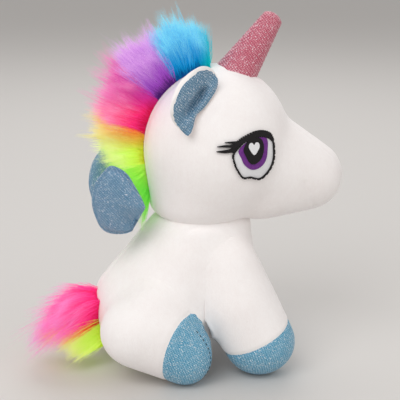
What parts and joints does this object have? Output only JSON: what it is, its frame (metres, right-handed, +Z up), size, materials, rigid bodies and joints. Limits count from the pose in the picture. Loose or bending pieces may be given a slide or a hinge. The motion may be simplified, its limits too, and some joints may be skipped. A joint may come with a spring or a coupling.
{
  "type": "plush unicorn",
  "caption": "Sitting plush unicorn with a rainbow fur mane and tail, glitter horn, hooves and wings, and soft joints at its sewn seams",
  "frame": {"origin": "centre of the bounding box in X and Y, on the surface that the toy sits on", "axes": "+X towards the muzzle, +Y towards the toy's left, +Z up"},
  "size_m": [0.19, 0.117, 0.2052],
  "materials": {
    "white_plush": "short-pile white plush",
    "stuffing": "white polyester fibre",
    "white_thread": "satin-stitched white thread",
    "purple_thread": "satin-stitched purple thread",
    "black_thread": "satin-stitched black thread",
    "pink_glitter": "woven pink glitter fabric",
    "blue_glitter": "woven blue glitter fabric",
    "backing": "knitted fur backing",
    "blue_fur": "long-pile blue fur",
    "purple_fur": "long-pile purple fur",
    "pink_fur": "long-pile pink fur",
    "yellow_fur": "long-pile yellow fur",
    "green_fur": "long-pile green fur"
  },
  "bodies": {
    "torso": {"body_left_panel": "white_plush", "body_right_panel": "white_plush", "belly_gusset": "white_plush", "body_stuffing": "stuffing"},
    "head": {"head_left_panel": "white_plush", "head_right_panel": "white_plush", "head_gusset": "white_plush", "chin_gusset": "white_plush", "head_stuffing": "stuffing", "eye_white_left": "white_thread", "eye_iris_left": "purple_thread", "eye_pupil_left": "black_thread", "eye_spot_left": "white_thread", "eye_line_left": "black_thread", "eye_white_right": "white_thread", "eye_iris_right": "purple_thread", "eye_pupil_right": "black_thread", "eye_spot_right": "white_thread", "eye_line_right": "black_thread", "horn_skin": "pink_glitter", "horn_stuffing": "stuffing", "mane_backing": "backing", "mane_blue": "blue_fur", "mane_purple": "purple_fur", "mane_pink": "pink_fur", "mane_yellow": "yellow_fur", "mane_green": "green_fur"},
    "ear_left": {"ear_back_left": "white_plush", "ear_lining_left": "blue_glitter"},
    "ear_right": {"ear_back_right": "white_plush", "ear_lining_right": "blue_glitter"},
    "wing_left": {"wing_outer_left": "blue_glitter", "wing_inner_left": "blue_glitter", "wing_padding_left": "stuffing"},
    "wing_right": {"wing_outer_right": "blue_glitter", "wing_inner_right": "blue_glitter", "wing_padding_right": "stuffing"},
    "front_leg_left": {"front_leg_skin_left": "white_plush", "front_leg_stuffing_left": "stuffing", "front_hoof_outer_left": "blue_glitter", "front_hoof_inner_left": "blue_glitter"},
    "front_leg_right": {"front_leg_skin_right": "white_plush", "front_leg_stuffing_right": "stuffing", "front_hoof_outer_right": "blue_glitter", "front_hoof_inner_right": "blue_glitter"},
    "hind_leg_left": {"hind_leg_skin_left": "white_plush", "hind_leg_stuffing_left": "stuffing", "hind_hoof_outer_left": "blue_glitter", "hind_hoof_inner_left": "blue_glitter"},
    "hind_leg_right": {"hind_leg_skin_right": "white_plush", "hind_leg_stuffing_right": "stuffing", "hind_hoof_outer_right": "blue_glitter", "hind_hoof_inner_right": "blue_glitter"},
    "tail": {"tail_backing": "backing", "tail_pink": "pink_fur", "tail_yellow": "yellow_fur", "tail_green": "green_fur"}
  },
  "joints": [
    {"name": "neck", "type": "hinge", "parent": "torso", "child": "head", "pos_m": [0.013, 0, 0.074], "axis": [0, 1, 0], "range_deg": [-10, 10], "stiffness_Nm_per_rad": 1},
    {"name": "ear_left", "type": "hinge", "parent": "head", "child": "ear_left", "pos_m": [0.00817, 0.0323, 0.1603], "axis": [0.7697, 0.2802, 0.5736], "range_deg": [-20, 20], "stiffness_Nm_per_rad": 0.05},
    {"name": "wing_left", "type": "hinge", "parent": "torso", "child": "wing_left", "pos_m": [-0.026, 0.021, 0.088], "axis": [0.4, 0, 0.9165], "range_deg": [-20, 20], "stiffness_Nm_per_rad": 0.08},
    {"name": "front_leg_left", "type": "hinge", "parent": "torso", "child": "front_leg_left", "pos_m": [0.026, 0.022, 0.058], "axis": [0, 1, 0], "range_deg": [-10, 10], "stiffness_Nm_per_rad": 1},
    {"name": "hind_leg_left", "type": "hinge", "parent": "torso", "child": "hind_leg_left", "pos_m": [-0.024, 0.031, 0.031], "axis": [0, 1, 0], "range_deg": [-10, 10], "stiffness_Nm_per_rad": 1},
    {"name": "ear_right", "type": "hinge", "parent": "head", "child": "ear_right", "pos_m": [0.00817, -0.0323, 0.1603], "axis": [0.7697, -0.2802, 0.5736], "range_deg": [-20, 20], "stiffness_Nm_per_rad": 0.05},
    {"name": "wing_right", "type": "hinge", "parent": "torso", "child": "wing_right", "pos_m": [-0.026, -0.021, 0.088], "axis": [0.4, 0, 0.9165], "range_deg": [-20, 20], "stiffness_Nm_per_rad": 0.08},
    {"name": "front_leg_right", "type": "hinge", "parent": "torso", "child": "front_leg_right", "pos_m": [0.026, -0.022, 0.058], "axis": [0, 1, 0], "range_deg": [-10, 10], "stiffness_Nm_per_rad": 1},
    {"name": "hind_leg_right", "type": "hinge", "parent": "torso", "child": "hind_leg_right", "pos_m": [-0.024, -0.031, 0.031], "axis": [0, 1, 0], "range_deg": [-10, 10], "stiffness_Nm_per_rad": 1},
    {"name": "tail", "type": "hinge", "parent": "torso", "child": "tail", "pos_m": [-0.04531, 0, 0.026], "axis": [0, 0, 1], "range_deg": [-20, 20], "stiffness_Nm_per_rad": 0.08}
  ]
}
